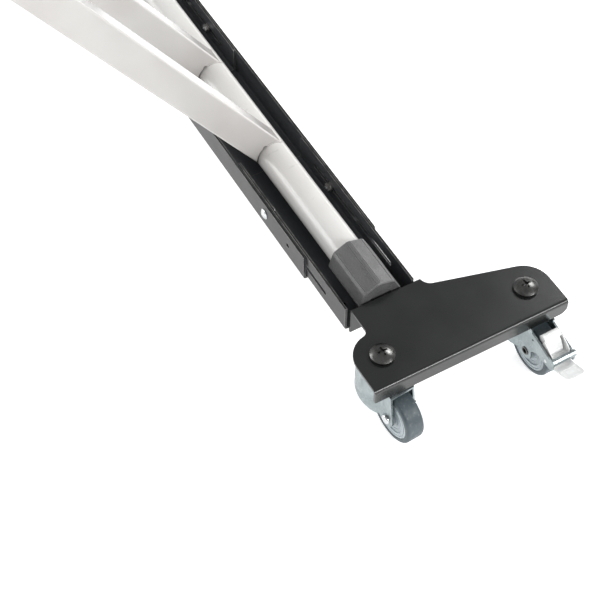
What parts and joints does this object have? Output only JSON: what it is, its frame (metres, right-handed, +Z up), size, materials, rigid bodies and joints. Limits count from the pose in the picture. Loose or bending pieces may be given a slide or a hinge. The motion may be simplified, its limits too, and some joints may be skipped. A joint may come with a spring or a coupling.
{
  "type": "castored telescoping rail with stand foot",
  "caption": "Telescoping steel channel on castored end brackets, with a tubular stand foot and two sloping beams resting in its trough.",
  "frame": {"origin": "middle of the object's box in plan, on the floor under the wheels", "axes": "+X along the rail towards the near end, +Y across it towards the long ears of the brackets, +Z up"},
  "size_m": [1.0872, 0.5268, 0.5691],
  "materials": {
    "rail_black": "satin black powder coat",
    "bracket_black": "satin black powder coat",
    "bolt_black": "black plated",
    "zinc": "bright zinc plated",
    "zinc_pressed": "zinc plated pressed sheet",
    "tyre_grey": "satin grey elastomer",
    "hub_grey": "moulded grey",
    "pedal_white": "bright silver white",
    "tube_white": "gloss white powder coat",
    "cap_black": "moulded black",
    "plug_white": "moulded white"
  },
  "bodies": {
    "rail": {"outer_channel": "rail_black", "clamp_bolts": "zinc", "clamp_washers": "bolt_black", "clamp_nuts": "bolt_black"},
    "arm_near": {"inner_channel_near": "rail_black", "foot_bracket_near": "bracket_black", "lip_bolts_near": "bolt_black", "lip_nuts_near": "bolt_black", "pivot_bolts_near": "bolt_black", "pivot_nuts_near": "zinc", "pivot_races_near": "zinc"},
    "castor_plain_near": {"fork_plain_near": "zinc_pressed", "axle_plain_near": "zinc", "axle_nut_plain_near": "zinc", "axle_bushes_plain_near": "hub_grey"},
    "wheel_plain_near": {"tyre_plain_near": "tyre_grey", "hub_plain_near": "hub_grey"},
    "castor_braked_near": {"fork_braked_near": "zinc_pressed", "axle_braked_near": "zinc", "axle_nut_braked_near": "zinc", "axle_bushes_braked_near": "hub_grey", "pedal_pin_near": "zinc"},
    "wheel_braked_near": {"tyre_braked_near": "tyre_grey", "hub_braked_near": "hub_grey"},
    "brake_near": {"brake_pedal_near": "pedal_white"},
    "arm_far": {"inner_channel_far": "rail_black", "foot_bracket_far": "bracket_black", "lip_bolts_far": "bolt_black", "lip_nuts_far": "bolt_black", "pivot_bolts_far": "bolt_black", "pivot_nuts_far": "zinc", "pivot_races_far": "zinc"},
    "castor_plain_far": {"fork_plain_far": "zinc_pressed", "axle_plain_far": "zinc", "axle_nut_plain_far": "zinc", "axle_bushes_plain_far": "hub_grey"},
    "wheel_plain_far": {"tyre_plain_far": "tyre_grey", "hub_plain_far": "hub_grey"},
    "castor_braked_far": {"fork_braked_far": "zinc_pressed", "axle_braked_far": "zinc", "axle_nut_braked_far": "zinc", "axle_bushes_braked_far": "hub_grey", "pedal_pin_far": "zinc"},
    "wheel_braked_far": {"tyre_braked_far": "tyre_grey", "hub_braked_far": "hub_grey"},
    "brake_far": {"brake_pedal_far": "pedal_white"},
    "stand_foot": {"cross_tube": "tube_white", "end_cap_near": "cap_black", "end_cap_far": "cap_black", "beam_near": "tube_white", "beam_far": "tube_white", "beam_plug_near": "plug_white", "beam_plug_far": "plug_white"}
  },
  "joints": [
    {"name": "arm_slide_near", "type": "slide", "parent": "rail", "child": "arm_near", "axis": [1, 0, 0], "range_m": [0, 0.038]},
    {"name": "castor_swivel_plain_near", "type": "hinge", "parent": "arm_near", "child": "castor_plain_near", "pos_m": [0.4325, 0.0342, 0.106], "axis": [0, 0, 1], "continuous": true},
    {"name": "wheel_roll_plain_near", "type": "hinge", "parent": "castor_plain_near", "child": "wheel_plain_near", "pos_m": [0.4689, 0.03694, 0.036], "axis": [-0.075, 0.9972, 0], "continuous": true},
    {"name": "castor_swivel_braked_near", "type": "hinge", "parent": "arm_near", "child": "castor_braked_near", "pos_m": [0.4325, 0.2299, 0.106], "axis": [0, 0, 1], "continuous": true},
    {"name": "wheel_roll_braked_near", "type": "hinge", "parent": "castor_braked_near", "child": "wheel_braked_near", "pos_m": [0.46899, 0.2306, 0.036], "axis": [-0.0192, 0.9998, 0], "continuous": true},
    {"name": "brake_press_near", "type": "hinge", "parent": "castor_braked_near", "child": "brake_near", "pos_m": [0.50449, 0.23128, 0.057], "axis": [-0.0192, 0.9998, 0], "range_deg": [-8, 0]},
    {"name": "arm_slide_far", "type": "slide", "parent": "rail", "child": "arm_far", "axis": [-1, 0, 0], "range_m": [0, 0.038]},
    {"name": "castor_swivel_plain_far", "type": "hinge", "parent": "arm_far", "child": "castor_plain_far", "pos_m": [-0.4325, 0.0342, 0.106], "axis": [0, 0, 1], "continuous": true},
    {"name": "wheel_roll_plain_far", "type": "hinge", "parent": "castor_plain_far", "child": "wheel_plain_far", "pos_m": [-0.4689, 0.03694, 0.036], "axis": [0.075, 0.9972, 0], "continuous": true},
    {"name": "castor_swivel_braked_far", "type": "hinge", "parent": "arm_far", "child": "castor_braked_far", "pos_m": [-0.4325, 0.2299, 0.106], "axis": [0, 0, 1], "continuous": true},
    {"name": "wheel_roll_braked_far", "type": "hinge", "parent": "castor_braked_far", "child": "wheel_braked_far", "pos_m": [-0.46899, 0.2306, 0.036], "axis": [0.0192, 0.9998, 0], "continuous": true},
    {"name": "brake_press_far", "type": "hinge", "parent": "castor_braked_far", "child": "brake_far", "pos_m": [-0.50449, 0.23128, 0.057], "axis": [0.0192, 0.9998, 0], "range_deg": [0, 8]},
    {"name": "stand_lift", "type": "slide", "parent": "rail", "child": "stand_foot", "axis": [0, 0, 1], "range_m": [0, 0.12]}
  ]
}
